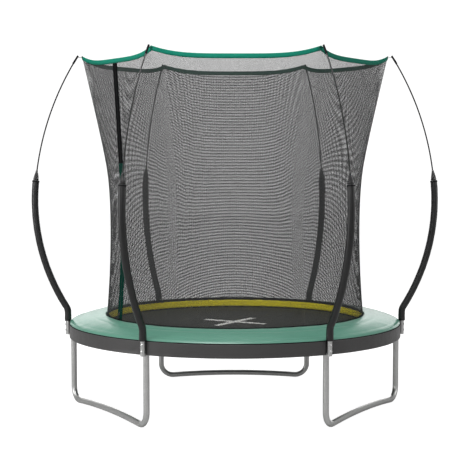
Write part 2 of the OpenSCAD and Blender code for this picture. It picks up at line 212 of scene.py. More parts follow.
class Finish:                                       # one material and its nodes
    def __init__(self, name, colour, roughness, metallic=0.0, **sockets):
        self.material = bpy.data.materials.new(name)
        self.material.use_nodes = True
        self.tree = self.material.node_tree
        self.nodes, self.links = self.tree.nodes, self.tree.links
        self.bsdf = self.nodes["Principled BSDF"]
        self.bsdf.inputs["Metallic"].default_value = metallic
        for socket, value in sockets.items():
            self.bsdf.inputs[socket.replace("_", " ")].default_value = value
        self.place = self.nodes.new("ShaderNodeTexCoord")
        self.colour = colour                        # stays plain until something varies it
        self.rough = roughness
        self.height = None

    def math(self, operation, *inputs, clamp=False):
        node = self.nodes.new("ShaderNodeMath")
        node.operation = operation
        node.use_clamp = clamp
        for socket, item in zip(node.inputs, inputs):
            self.feed(socket, item)
        return node.outputs[0]

    def feed(self, socket, item):
        if isinstance(item, bpy.types.NodeSocket):
            self.links.new(item, socket)
        else:
            socket.default_value = item

    def mix(self, factor, first, second):
        node = self.nodes.new("ShaderNodeMix")
        node.data_type = "RGBA"
        self.feed(node.inputs[0], factor)
        self.feed(node.inputs[6], first)
        self.feed(node.inputs[7], second)
        return node.outputs[2]

    def where(self, source, stretch=(1, 1, 1)):
        node = self.nodes.new("ShaderNodeMapping")
        self.links.new(self.place.outputs[source], node.inputs["Vector"])
        node.inputs["Scale"].default_value = stretch
        return node.outputs[0]

    def noise(self, size, source="Object", detail=3, stretch=(1, 1, 1)):
        node = self.nodes.new("ShaderNodeTexNoise")
        self.links.new(self.where(source, stretch), node.inputs["Vector"])
        node.inputs["Scale"].default_value = 1 / size
        node.inputs["Detail"].default_value = detail
        return node.outputs["Fac"]

    def cells(self, size, source="Object"):
        node = self.nodes.new("ShaderNodeTexVoronoi")
        self.links.new(self.where(source), node.inputs["Vector"])
        node.inputs["Scale"].default_value = 1 / size
        split = self.nodes.new("ShaderNodeSeparateColor")
        self.links.new(node.outputs["Color"], split.inputs[0])
        return split.outputs[0]

    def attribute(self, name):
        node = self.nodes.new("ShaderNodeAttribute")
        node.attribute_name = name
        return node.outputs["Fac"]

    def axes(self, source="UV"):
        node = self.nodes.new("ShaderNodeSeparateXYZ")
        self.links.new(self.place.outputs[source], node.inputs[0])
        return node.outputs

    def ripple(self, along, pitch):                 # from 0 to 1 and back over each pitch
        phase = self.math("MULTIPLY", along, math.tau / pitch)
        return self.math("MULTIPLY_ADD", self.math("SINE", phase), 0.5, 0.5)

    def weave(self, pitch, source="UV"):            # threads over and under each other
        x, y = self.axes(source)[0], self.axes(source)[1]
        across, along = self.ripple(x, pitch), self.ripple(y, pitch)
        over = self.math("GREATER_THAN", self.ripple(self.math("ADD", x, y), 2 * pitch), 0.5)
        return self.math("ADD", self.math("MULTIPLY", across, over),
                         self.math("MULTIPLY", along, self.math("SUBTRACT", 1.0, over)))

    def stitches(self, lines, pitch=0.005, width=0.0013):
        x, y = self.axes()[0], self.axes()[1]
        dash = self.math("LESS_THAN", self.math("FRACT", self.math("DIVIDE", x, pitch)), 0.62)
        total = None
        for line in lines:
            near = self.math("LESS_THAN", self.math("ABSOLUTE", self.math("SUBTRACT", y, line)), width / 2)
            total = near if total is None else self.math("MAXIMUM", total, near)
        return self.math("MULTIPLY", total, dash)

    def tint(self, factor, colour, strength=1.0):
        self.colour = self.mix(self.math("MULTIPLY", factor, strength, clamp=True), self.colour, colour)

    def shade(self, factor, amount):                # darker and lighter round the base colour
        node = self.nodes.new("ShaderNodeHueSaturation")
        self.links.new(self.math("MULTIPLY_ADD", factor, 2 * amount, 1 - amount), node.inputs["Value"])
        self.feed(node.inputs["Color"], self.colour)
        self.colour = node.outputs[0]

    def roughen(self, factor, amount):
        self.rough = self.math("ADD", self.rough, self.math("MULTIPLY", self.math("SUBTRACT", factor, 0.5),
                                                            2 * amount), clamp=True)

    def emboss(self, factor, height):
        step = self.math("MULTIPLY", factor, height)
        self.height = step if self.height is None else self.math("ADD", self.height, step)

    def done(self):
        self.feed(self.bsdf.inputs["Base Color"], self.colour)
        self.feed(self.bsdf.inputs["Roughness"], self.rough)
        if self.height is not None:
            bump = self.nodes.new("ShaderNodeBump")
            bump.inputs["Distance"].default_value = 1.0
            self.links.new(self.height, bump.inputs["Height"])
            self.links.new(bump.outputs[0], self.bsdf.inputs["Normal"])
        return self.material


def zincFinish(name, grey, spangle, roughness):     # galvanised or plated steel
    finish = Finish(name, (grey, grey, grey * 0.985, 1), roughness, metallic=0.88)
    finish.shade(finish.cells(spangle), 0.035)
    finish.shade(finish.noise(0.09), 0.07)
    finish.roughen(finish.noise(0.03, detail=5), 0.07)
    finish.emboss(finish.noise(0.0025, detail=2), 0.00002)
    scuff = finish.noise(0.006, detail=6)
    low = finish.math("LESS_THAN", finish.axes("Object")[2], 0.03)
    worn = finish.math("MULTIPLY", low, finish.math("GREATER_THAN", scuff, 0.56))
    finish.tint(worn, linear(120, 116, 108), 0.5)
    return finish.done()


def vinylFinish(name, colour, roughness, light, coat=0.12, thread=None, lines=()):
    finish = Finish(name, colour, roughness, Coat_Weight=coat, Coat_Roughness=0.28)
    finish.tint(finish.noise(0.35, detail=2), light, 0.16)
    finish.shade(finish.noise(0.05, detail=4), 0.05)
    finish.roughen(finish.noise(0.02, detail=4), 0.08)
    finish.emboss(finish.weave(0.0016), 0.00004)
    finish.emboss(finish.noise(0.04, detail=3), 0.0006)
    if thread:
        seam = finish.stitches(lines)
        finish.tint(seam, thread)
        finish.emboss(seam, 0.0004)
    return finish.done()


def webbingFinish(name, colour, pitch=0.0022, thread=None, lines=()):
    finish = Finish(name, colour, 0.8, Specular_IOR_Level=0.06)
    threads = finish.weave(pitch)
    finish.shade(threads, 0.22)
    finish.shade(finish.noise(0.03, detail=3), 0.08)
    finish.emboss(threads, 0.00035)
    if thread:
        seam = finish.stitches(lines)
        finish.tint(seam, thread)
        finish.emboss(seam, 0.0005)
    return finish.done()


def plasticFinish(name, colour, roughness):
    finish = Finish(name, colour, roughness)
    finish.shade(finish.noise(0.02), 0.05)
    finish.roughen(finish.noise(0.004, detail=5), 0.06)
    finish.emboss(finish.noise(0.0008, detail=2), 0.00003)
    return finish.done()


def matFinish():
    finish = Finish("matWeave", linear(30, 31, 27), 0.66, Sheen_Weight=0.03, Sheen_Roughness=0.4)
    threads = finish.weave(0.0024, "Object")
    finish.shade(threads, 0.25)
    finish.shade(finish.noise(0.25, detail=3), 0.10)
    finish.roughen(finish.noise(0.12, detail=3), 0.05)
    finish.emboss(threads, 0.0004)
    return finish.done()


def coverFinish(name, roughness, coat):             # glossy black cover of the pole sleeves
    finish = Finish(name, linear(15, 15, 16), roughness, Coat_Weight=coat, Coat_Roughness=0.16)
    finish.shade(finish.noise(0.03, detail=4), 0.15)
    finish.roughen(finish.noise(0.012, detail=4), 0.07)
    finish.emboss(finish.noise(0.014, detail=3, stretch=(1, 1, 0.35)), 0.0007)
    finish.emboss(finish.noise(0.0012, detail=2), 0.00004)
    return finish.done()


def netFinish():
    finish = Finish("netYarn", linear(28, 28, 29), 0.65, Sheen_Weight=0.08, Sheen_Roughness=0.5)
    finish.shade(finish.noise(0.0016, detail=2), 0.25)
    finish.emboss(finish.noise(0.0011, detail=2), 0.0003)
    return finish.done()


def rodFinish():
    finish = Finish("glassFibre", linear(22, 22, 23), 0.42, Coat_Weight=0.1, Coat_Roughness=0.2)
    finish.shade(finish.noise(0.002, detail=2, stretch=(1, 1, 0.08)), 0.15)
    finish.roughen(finish.noise(0.01, detail=3), 0.06)
    return finish.done()


greyThread = linear(92, 92, 92)
galvanised = zincFinish("galvanised", 0.57, 0.011, 0.33)
plated = zincFinish("zincPlated", 0.74, 0.004, 0.26)
springSteel = zincFinish("springSteel", 0.62, 0.005, 0.28)
blackPlastic = plasticFinish("blackPlastic", linear(26, 26, 27), 0.42)
pullPlastic = plasticFinish("pullPlastic", linear(46, 46, 47), 0.45)
coilPlastic = plasticFinish("zipTeeth", linear(34, 36, 36), 0.35)
zipMetal = zincFinish("zipMetal", 0.12, 0.003, 0.36)
sleeveCover = coverFinish("sleeveCover", 0.38, 0.12)
capCover = coverFinish("capCover", 0.20, 0.6)
netYarn = netFinish()
glassFibre = rodFinish()
matWeave = matFinish()
blackWebbing = webbingFinish("blackWebbing", linear(30, 30, 31))
print("materials made")


# Steel and other rigid parts keep their shape from the frame

rigid = {
    "galvanised_tube": galvanised, "zinc_fastener": plated, "spring_steel": springSteel,
    "black_plastic": blackPlastic, "glass_fibre": glassFibre}
slotOf = {row["node"]: row["material_slot"] for row in frame["record"]["subparts"]}
for name, node in frame["nodes"].items():
    if slotOf[name] in rigid:
        node.data.materials.clear()
        node.data.materials.append(rigid[slotOf[name]])
print("rigid parts finished")


# Pole sleeves, with their caps and ties

pole = {
    "radius": 1.242, "bendHeight": 0.662, "bendRadius": 0.090, "lean": 32,
    "curveRadius": 1.475, "curveTurn": 38, "gap": 0.0004}
sleeve = {
    "outer": 0.0249, "bore": 0.0174, "foot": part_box("sleeve_1")[0].z, "sides": 40, "steps": 64,
    "creases": 0.0011, "capHeight": 0.070, "capRows": 9, "capFoot": 0.0222, "capTip": 0.0074,
    "pleats": 9, "pleatDepth": 0.09, "tieWidth": 0.0085, "tieDepth": 0.0026}


def poleTop():                                      # where the steel pole ends, and its heading
    lean, top = rad(pole["lean"]), rad(pole["lean"] - pole["curveTurn"])
    start = Vector((1 - math.cos(lean), 0, math.sin(lean))) * pole["bendRadius"]
    start += Vector((math.sin(lean), 0, math.cos(lean))) * pole["gap"]
    curve = Vector((math.cos(top) - math.cos(lean), 0, math.sin(lean) - math.sin(top)))
    end = start + curve * pole["curveRadius"] + Vector((pole["radius"], 0, pole["bendHeight"]))
    return Matrix.Translation(end) @ Matrix.Rotation(top, 4, "Y")


def followPole(bm, ring, foot):                     # sweeps a ring of edges up the pole's line
    lean = rad(pole["lean"])
    bend = Vector((pole["radius"] + pole["bendRadius"], 0, pole["bendHeight"]))
    for height in (0.02, 0.02, pole["bendHeight"] - foot - 0.04):
        made = bmesh.ops.extrude_edge_only(bm, edges=ring)["geom"]
        shift(bm, (0, 0, height), vertsOf(made))
        ring = edgesOf(made)
    last = bmesh.ops.spin(bm, geom=vertsOf(made) + ring, cent=bend, axis=(0, 1, 0), angle=lean, steps=10)
    corner = bend - Vector((math.cos(lean), 0, -math.sin(lean))) * pole["bendRadius"]
    centre = corner + Vector((-math.cos(lean), 0, math.sin(lean))) * pole["curveRadius"]
    last = bmesh.ops.spin(bm, geom=last["geom_last"], cent=centre, axis=(0, -1, 0),
                          angle=rad(pole["curveTurn"]), steps=sleeve["steps"])
    return edgesOf(last["geom_last"])


def makeSleeve():
    bm = bmesh.new()
    rings = []
    for radius in (sleeve["outer"], sleeve["bore"]):
        made = bmesh.ops.create_circle(bm, segments=sleeve["sides"], radius=radius)["verts"]
        shift(bm, (pole["radius"], 0, sleeve["foot"]), made)
        first = list({edge for vert in made for edge in vert.link_edges})
        rings.append((first, followPole(bm, first, sleeve["foot"])))
    for end in (0, 1):
        bmesh.ops.bridge_loops(bm, edges=rings[0][end] + rings[1][end])
    bmesh.ops.recalc_face_normals(bm, faces=bm.faces)
    soften(bm, rings[0][0] + rings[0][1], 0.0018)
    tip = poleTop().translation
    ruffle(bm, sleeve["creases"], 0.022, 4.0)
    ruffle(bm, sleeve["creases"] * 0.8, 0.009, 9.0,
           lambda co: 1 if (co - tip).length < 0.09 or co.z < 0.70 else 0.35)
    return bm


def makeCap():                                      # the cover's gathered end, drawn in to the rod
    bm = bmesh.new()
    rows = sleeve["capRows"]
    made = bmesh.ops.create_circle(bm, segments=66, radius=1)["verts"]
    ring = list({edge for vert in made for edge in vert.link_edges})
    levels = [made]
    for _ in range(rows):
        step = bmesh.ops.extrude_edge_only(bm, edges=ring)["geom"]
        ring = edgesOf(step)
        levels.append(vertsOf(step))
    for i, level in enumerate(levels):
        t = i / rows
        radius = sleeve["capFoot"] + (sleeve["capTip"] - sleeve["capFoot"]) * t ** 0.9
        for vert in level:
            angle = math.atan2(vert.co.y, vert.co.x)
            fold = math.sin(math.pi * min(1, t * 1.1)) * math.cos(sleeve["pleats"] * angle + 2 * t)
            pleat = 1 + sleeve["pleatDepth"] * fold
            vert.co = polar(radius * pleat, angle, 0.0036 + sleeve["capHeight"] * t)
    bmesh.ops.recalc_face_normals(bm, faces=bm.faces)
    bmesh.ops.solidify(bm, geom=bm.faces[:], thickness=0.0008)
    return bm


def makeTie():                                      # flat cord wound twice, with a knot
    bm = bmesh.new()
    half = sleeve["tieWidth"] / 2
    inner, outer = sleeve["outer"] + 0.0006, sleeve["outer"] + sleeve["tieDepth"]
    for low in (-half, 0.0002):
        moveInto(bm, spinProfile([(inner, low), (outer - 0.0005, low), (outer, low + 0.0008),
                                  (outer, low + half - 0.0010), (outer - 0.0005, low + half - 0.0002),
                                  (inner, low + half - 0.0002)], 48))
    knot = bmesh.ops.create_icosphere(bm, subdivisions=2, radius=0.0033)["verts"]
    bmesh.ops.scale(bm, vec=(0.55, 1.1, 1.2), verts=knot)
    shift(bm, (0, -outer, 0), knot)
    shift(bm, (0, 0, -0.009))
    return bm


sleeveMesh, capMesh, tieMesh = makeSleeve(), makeCap(), makeTie()
for bm in (capMesh, tieMesh):
    bmesh.ops.transform(bm, matrix=poleTop(), verts=bm.verts)
for i in range(poleCount):
    bm = sleeveMesh.copy()
    turn(bm, sector * i)
    piece = makePiece(bm, f"poleSleeve_{i + 1}", sleeveCover, "sleeve_vinyl", replaced=[f"sleeve_{i + 1}"])
sleeveMesh.free()
turnedCopies(capMesh, poleCount, sector)
makePiece(capMesh, "gatheredCaps", capCover, "sleeve_vinyl", replaced=["sleeve_caps"])
turnedCopies(tieMesh, poleCount, sector)
makePiece(tieMesh, "sleeveTies", blackWebbing, "black_webbing", replaced=["tie_rings"])
print("sleeves made")


# Safety net

net = {
    "foot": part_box("net_1")[0].z, "top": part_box("net_1")[1].z, "waist": 0.917, "waistHeight": 1.330,
    "curve": 7.2, "zipTop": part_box("zip_tape")[1].z, "drop": 0.052, "slope": 0.17, "slopeHeight": 1.7,
    "slopeBlend": 0.2, "thickness": 0.0012,
    "uprightPitch": 0.0031, "upright": 0.00092, "rowPitch": 0.0042, "row": 0.00178, "yarnDepth": 0.0002,
    "width": 1.0, "height": 1.93, "hem": 0.030, "door": rad(210),
    "foldDown": 0.655, "stretchTo": 0.38}           # figures for where the net's foot meets the mat


def sideShare(angle):                               # 0 midway between poles and 1 at a pole
    aside = angle % sector - sector / 2
    return (1 / math.cos(aside) - 1) / (1 / math.cos(sector / 2) - 1)


def netRadius(angle, z):
    reach = net["waist"] + net["curve"]
    split = min(z, net["zipTop"])
    middle = reach - math.sqrt(net["curve"] ** 2 - (split - net["waistHeight"]) ** 2)
    middle += (z - split) * (net["zipTop"] - net["waistHeight"]) / net["curve"]
    up = z - net["slopeHeight"]
    return middle + net["slope"] / 2 * (up + math.hypot(up, net["slopeBlend"])) * sideShare(angle)


def hemHeight(angle):
    return net["top"] - net["drop"] * (1 - sideShare(angle) ** 2)


def onNet(angle, z, out):
    return polar(netRadius(angle, z) + out, angle, z)


def followMat(piece):                               # bakes the piece's placement into its mesh
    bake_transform(piece)


def makeLattice():
    bm = bmesh.new()
    for pitch, yarn, isRow, bends, out in ((net["uprightPitch"], net["upright"], False, 22, 0.0001),
                                           (net["rowPitch"], net["row"], True, 12, -0.0001)):
        long, wide = (net["width"], net["height"]) if isRow else (net["height"], net["width"])
        count = round(wide / pitch)
        strand = cutCloth(long, yarn, net["yarnDepth"], bends, 1)
        if isRow:
            shift(strand, (0, -yarn / 2, out))
        else:
            turn(strand, rad(90))
            shift(strand, (yarn / 2, 0, out))
        source = strand.verts[:] + strand.edges[:] + strand.faces[:]
        for k in range(count):
            place = (k + 0.5) * wide / count
            made = bmesh.ops.duplicate(strand, geom=source)["geom"]
            shift(strand, (0, place, 0) if isRow else (place, 0, 0), vertsOf(made))
        bmesh.ops.delete(strand, geom=vertsOf(source), context="VERTS")
        flatUv(strand)
        moveInto(bm, strand)
    return bm


def hangPanel(index):
    def place(co):
        angle = sector * (index + min(1, max(0, co.x / net["width"])))
        top = hemHeight(angle) - 0.004
        z = net["foot"] + (top - net["foot"]) * co.y / net["height"]
        return onNet(angle, z, co.z - net["thickness"] / 2)
    return place


lattice = makeLattice()
for i in range(poleCount):
    panel = lattice.copy()
    wrap(panel, hangPanel(i))
    piece = makePiece(panel, f"netPanel_{i + 1}", netYarn, "net_mesh", body=None, replaced=[f"net_{i + 1}"])
    followMat(piece)
lattice.free()
print("net made")


# Hem of the net

hem = {"depth": 0.0032, "columns": 40, "rows": 6, "lift": -0.0012, "flat": (6.72, 0.032)}


def hemFinish():                                    # lit green outside, with the inner face painted darker green as shade
    # the base colour is painted shade on the inner face; the outer face is tinted to the lit green
    finish = Finish("hemGreen", linear(10, 50, 40), 0.6, Specular_IOR_Level=0.2)
    finish.tint(finish.attribute("outer"), linear(13, 132, 108))
    finish.shade(finish.noise(0.05, detail=4), 0.06)
    finish.roughen(finish.noise(0.02, detail=4), 0.08)
    finish.emboss(finish.weave(0.0016), 0.00004)
    seam = finish.stitches((0.0035, 0.0085))
    finish.tint(seam, linear(10, 60, 46))
    finish.emboss(seam, 0.0004)
    return finish.done()


hemGreen = hemFinish()
bm = bmesh.new()
for i in range(poleCount):
    strip = cutCloth(sector, net["hem"] + 0.002, hem["depth"], hem["columns"], hem["rows"])
    outer = strip.verts.layers.float.new("outer")
    for vert in strip.verts:
        # 1 on the outer face, which takes the lit green; 0 on the inner face, which takes the painted shade
        vert[outer] = 1 if vert.co.z > hem["depth"] / 2 else 0

    def placeHem(co):
        angle = sector * i + co.x
        down = net["hem"] - co.y
        swell = 1 + 0.30 * math.sin(math.pi * min(1, max(0, co.y / net["hem"])) ** 0.7)
        wave = 0.0012 * noise.noise(Vector((angle * 34, co.y * 40, i)))
        return onNet(angle, hemHeight(angle) - down, hem["lift"] + co.z * swell + wave)
    wrap(strip, placeHem)
    layer = strip.loops.layers.uv.verify()
    for face in strip.faces:
        for loop in face.loops:
            loop[layer].uv.x *= 1.12
    moveInto(bm, strip)
bmesh.ops.remove_doubles(bm, verts=bm.verts, dist=0.0001)
hemPiece = makePiece(bm, "netHem", hemGreen, "hem_green", replaced=["net_hem"])
print("hem made")


# Pockets that hold the rods' tips, each with a gusset to the hem's corner

rod = {"curve": 2.074, "turn": 26.5, "stub": 0.012, "pocket": 0.0078, "length": 0.070}


def rodPlace(angle):
    end = Vector((math.cos(angle) - 1, 0, math.sin(angle))) * rod["curve"] + Vector((0, 0, rod["stub"]))
    return poleTop() @ Matrix.Translation(end) @ Matrix.Rotation(-angle, 4, "Y")


def makePocket():
    bm = bmesh.new()
    bmesh.ops.create_cone(bm, cap_ends=True, segments=20, radius1=rod["pocket"],
                          radius2=rod["pocket"] * 0.92, depth=rod["length"])
    edges = [edge for edge in bm.edges if abs(edge.verts[0].co.z - edge.verts[1].co.z) > 0.01]
    bmesh.ops.subdivide_edges(bm, edges=edges, cuts=9)
    shift(bm, (0, 0, 0.0065 - rod["length"] / 2))
    soften(bm, [edge for edge in bm.edges if edge.is_manifold and edge.calc_face_angle() > rad(60)], 0.0012)
    bmesh.ops.transform(bm, matrix=rodPlace(rad(rod["turn"])), verts=bm.verts)
    corner = onNet(0, net["top"] - 0.012, 0.001)
    strap = cutCloth(1, 0.020, 0.0024, 8, 4)
    tip = rodPlace(rad(rod["turn"])) @ Vector((-rod["pocket"] * 0.7, 0, -0.006))

    def placeStrap(co):
        along = min(1, max(0, co.x))
        spread = 0.5 + 0.5 * along
        return tip.lerp(corner, along) + Vector((0, (co.y - 0.010) * spread, co.z))
    wrap(strap, placeStrap)
    moveInto(bm, strap)
    flatSides = bm.loops.layers.uv.verify()
    for face in bm.faces:
        for loop in face.loops:
            loop[flatSides].uv = (loop.vert.co.x, loop.vert.co.z)
    return bm


pockets = makePocket()
ruffle(pockets, 0.0004, 0.006, 3.0)
turnedCopies(pockets, poleCount, sector)
makePiece(pockets, "rodPockets", blackWebbing, "black_webbing", replaced=["rod_pockets"])
print("pockets made")


# Foot of the net: yellow band, piping

bandYellow = vinylFinish("bandYellow", linear(238, 222, 18), 0.5, linear(246, 234, 60), coat=0.05,
                         thread=linear(150, 140, 20), lines=(1.6035, 1.5535))
band = {"behind": 0.0039, "thickness": 0.0016, "rows": 8, "steps": 360, "flat": (5.96, 0.051)}
low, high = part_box("net_band")[0].z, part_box("net_band")[1].z
footRadius, headRadius = (netRadius(sector / 2, z) - net["thickness"] - band["behind"] for z in (low, high))
outline = []
for k in range(band["rows"] + 1):
    t = k / band["rows"]
    outline.append((footRadius + (headRadius - footRadius) * t + band["thickness"] / 2,
                    low + (high - low) * t))
outline += [(r - band["thickness"], z) for r, z in reversed(outline)]
bm = spinProfile(outline, band["steps"])
for vert in bm.verts:
    angle = math.atan2(vert.co.y, vert.co.x)
    wave = 0.0011 * noise.noise(Vector((math.cos(angle) * 22, math.sin(angle) * 22, vert.co.z * 25)))
    vert.co += polar(wave, angle)
bandPiece = makePiece(bm, "footBand", bandYellow, "net_yellow", body=None, replaced=["net_band"])
followMat(bandPiece)

pipeRadius, pipeHeight = netRadius(sector / 2, 0.655) - 0.0067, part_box("net_piping")[0].z + 0.0035
bm = spinProfile(roundOutline(pipeRadius, pipeHeight, 0.0034, 12), band["steps"])
flange = [(pipeRadius + 0.0030, pipeHeight - 0.0005), (pipeRadius + 0.0044, pipeHeight - 0.0005),
          (pipeRadius + 0.0030, pipeHeight + 0.014), (pipeRadius + 0.0016, pipeHeight + 0.014)]
moveInto(bm, spinProfile(flange, band["steps"]))
makePiece(bm, "footPiping", blackWebbing, "black_webbing", replaced=["net_piping"])
print("foot of the net made")


# Door: seam above, zip below

door = {"tape": 0.070, "tapeDepth": 0.0016, "seamWidth": 0.070, "slit": 0.0006, "tooth": 0.0032}


def onDoor(x, z, out):                              # x across the door line, in metres
    base = polar(netRadius(net["door"], z) + out, net["door"], z)
    return base + polar(x, net["door"] + rad(90))


seamFinish = webbingFinish("seamWebbing", linear(8, 8, 9), thread=greyThread, lines=(0.004, 0.035, 0.066))
seamLow = net["zipTop"] + 0.001
seamHigh = hemHeight(net["door"]) - net["hem"] - 0.002
bm = cutCloth(seamHigh - seamLow, door["seamWidth"], door["tapeDepth"], 60, 6)
wrap(bm, lambda co: onDoor(co.y - door["seamWidth"] / 2, seamLow + co.x, co.z + 0.0003))
seamPiece = makePiece(bm, "doorSeam", seamFinish, "black_webbing", replaced=["door_seam"])

tapeFinish = webbingFinish("zipTape", linear(5, 52, 43), pitch=0.0018, thread=linear(3, 34, 28),
                           lines=(0.0022, 0.0094, 0.031))
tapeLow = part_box("zip_tape")[0].z
bm = bmesh.new()
for side in (-1, 1):
    strip = cutCloth(net["zipTop"] - tapeLow, door["tape"] / 2 - door["slit"], door["tapeDepth"], 72, 4)
    wrap(strip, lambda co: onDoor(side * (door["slit"] + co.y), tapeLow + co.x,
                                  co.z + 0.0005 + 0.0005 * math.sin(co.x * 31 + side)))
    moveInto(bm, strip)
tapePiece = makePiece(bm, "zipTape", tapeFinish, "hem_green", replaced=["zip_tape"])

bm = bmesh.new()
teeth = int((net["zipTop"] - 0.004 - tapeLow - 0.006) / door["tooth"])
for k in range(teeth):
    z = tapeLow + 0.006 + k * door["tooth"]
    side = 1 if k % 2 else -1
    made = bmesh.ops.create_cube(bm, size=1)["verts"]
    bmesh.ops.scale(bm, vec=(0.0018, 0.0034, door["tooth"] * 0.62), verts=made)
    crown = [vert for vert in made if vert.co.x > 0]
    bmesh.ops.scale(bm, vec=(1, 0.6, 0.7), verts=crown)
    turn(bm, net["door"], verts=made)
    shift(bm, onDoor(side * 0.0008, z, 0.0028), made)
makePiece(bm, "zipTeeth", coilPlastic, "zip_coil", replaced=["zip_coil"], smooth=False)

low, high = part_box("zip_foot")[0].z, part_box("zip_foot")[1].z
bm = cutCloth(high - low, door["tape"] - 0.004, 0.0028, 8, 8)
wrap(bm, lambda co: onDoor(co.y - door["tape"] / 2 + 0.002, low + co.x, co.z + 0.0010
                           + 0.0007 * math.cos(co.y * 160) * math.cos(co.x * 120)))
makePiece(bm, "zipFoot", blackWebbing, "black_webbing", replaced=["zip_foot"])
print("door made")


# Zip slider and its pull, on the door line

tilt = math.asin((net["waistHeight"] - 0.712) / net["curve"])
sliderPlace = (Matrix.Rotation(net["door"], 4, "Z")
               @ Matrix.Translation((net["waist"] + net["curve"], 0, net["waistHeight"]))
               @ Matrix.Rotation(-tilt, 4, "Y") @ Matrix.Translation((-net["curve"], 0, 0)))
slider = {"back": 0.0025, "lift": 0.0040, "front": 0.0085, "pin": 0.0134, "pinRadius": 0.0020}


def boxAt(bm, low, high, bevel=0.0):
    made = bmesh.ops.create_cube(bm, size=1)["verts"]
    size = Vector(high) - Vector(low)
    bmesh.ops.scale(bm, vec=size, verts=made)
    shift(bm, (Vector(low) + Vector(high)) / 2, made)
    if bevel:
        soften(bm, list({edge for vert in made for edge in vert.link_edges}), bevel)


bm = bmesh.new()
plate = bmesh.new()
boxAt(plate, (slider["back"], -0.0065, -0.0118), (slider["back"] + 0.0018, 0.0065, 0.0118))
bmesh.ops.subdivide_edges(plate, edges=plate.edges[:], cuts=3, use_grid_fill=True)
for vert in plate.verts:                            # waisted, like a violin
    vert.co.y *= 0.80 + 0.20 * abs(vert.co.z / 0.0118) ** 1.5
soften(plate, [edge for edge in plate.edges if edge.calc_face_angle(0) > rad(50)], 0.0004)
shift(plate, (slider["lift"], 0, 0))
moveInto(bm, plate)
for side in (-1, 1):                                # side walls that the teeth run between
    boxAt(bm, (slider["back"] + 0.0032, side * 0.0052 - 0.0009, -0.0100),
          (slider["back"] + 0.0042, side * 0.0052 + 0.0009, 0.0100), 0.0003)
    boxAt(bm, (slider["front"] - 0.0004, side * 0.0045 - 0.0015, -0.0034),
          (slider["pin"] + 0.0028, side * 0.0045 + 0.0015, 0.0034), 0.0009)
pin = bmesh.ops.create_cone(bm, cap_ends=True, segments=24, radius1=slider["pinRadius"],
                            radius2=slider["pinRadius"], depth=0.0086)["verts"]
turn(bm, rad(90), "X", pin)
shift(bm, (slider["pin"], 0, 0), pin)
bmesh.ops.transform(bm, matrix=sliderPlace, verts=bm.verts)
makePiece(bm, "zipSlider", zipMetal, "zip_metal", body="zip_slider", replaced=["zip_slider"], smooth=False)

bm = bmesh.new()
eye = bmesh.new()                                   # round eye over the pin
for radius in (0.0038, slider["pinRadius"] + 0.00005):
    bmesh.ops.create_circle(eye, segments=28, radius=radius)
bmesh.ops.bridge_loops(eye, edges=eye.edges[:])
turn(eye, rad(90), "X")
bmesh.ops.recalc_face_normals(eye, faces=eye.faces)
bmesh.ops.solidify(eye, geom=eye.faces[:], thickness=0.0054)
span = [vert.co.y for vert in eye.verts]
shift(eye, (0, -(max(span) + min(span)) / 2, 0))
moveInto(bm, eye)
boxAt(bm, (-0.0010, -0.0027, -0.0100), (0.0010, 0.0027, -0.0028), 0.0003)
boxAt(bm, (-0.0010, -0.0045, -0.0380), (0.0010, 0.0045, -0.0090), 0.0009)
for k in range(7):                                  # grip ribs on both faces
    z = -0.0350 + k * 0.0032
    boxAt(bm, (-0.0014, -0.0034, z), (0.0014, 0.0034, z + 0.0013), 0.0004)
shift(bm, (slider["pin"], 0, 0))
bmesh.ops.transform(bm, matrix=sliderPlace, verts=bm.verts)
makePiece(bm, "zipPull", pullPlastic, "white_plastic", body="zip_pull", replaced=["zip_pull"], smooth=False)
print("zip made")


# Safety pad and its skirt

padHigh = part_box("pad")[1]
pad = {
    "inner": 0.955, "outer": padHigh.x, "top": padHigh.z, "foot": 0.5995, "steps": 720,
    "sleeveRoom": 0.0262, "creases": 0.0022}
ringRadius = 1.2


def clearOfSleeves(co):                             # presses the edge in where a sleeve stands
    angle = math.atan2(co.y, co.x)
    off = (angle + sector / 2) % sector - sector / 2
    radius = math.hypot(co.x, co.y)
    aside = radius * math.sin(off)
    if abs(aside) >= pad["sleeveRoom"] or radius < 1.15:
        return co
    limit = pole["radius"] - math.sqrt(pad["sleeveRoom"] ** 2 - aside ** 2)
    return polar(min(radius, limit / max(0.5, math.cos(off))), angle, co.z)


def padOutline():
    inner, outer, top, foot = pad["inner"], pad["outer"], pad["top"], pad["foot"]
    points = [(inner + 0.003, top - 0.0215), (inner + 0.0005, top - 0.018), (inner + 0.0005, top - 0.009)]
    for k in range(1, 6):                           # rounded inner edge
        bend = rad(18 * k)
        points.append((inner + 0.0085 - 0.008 * math.cos(bend), top - 0.009 + 0.0085 * math.sin(bend)))
    crown = [(0.030, 0.0008), (0.050, 0.0022), (0.070, 0.0046), (0.086, 0.0082), (0.094, 0.0112),
             (0.102, 0.0112), (0.120, 0.0126), (0.140, 0.0164), (0.160, 0.0212), (0.180, 0.0266),
             (0.200, 0.0324), (0.214, 0.0380), (0.222, 0.0412), (0.230, 0.0424), (0.240, 0.0456),
             (0.250, 0.0496), (0.257, 0.0532)]
    points += [(inner + out, top - down) for out, down in crown]
    outerEdge = [(0.0065, 0.0098), (0.0032, 0.0068), (0.0014, 0.0032), (0.0012, 0.0004), (0.012, 0.0004)]
    points += [(outer - back, foot + up) for back, up in outerEdge]
    below = [(0.010, 0.0004), (0.030, 0.003), (0.060, 0.008), (0.110, 0.020), (0.170, 0.034)]
    return points + [(ringRadius - back, foot + up) for back, up in below]


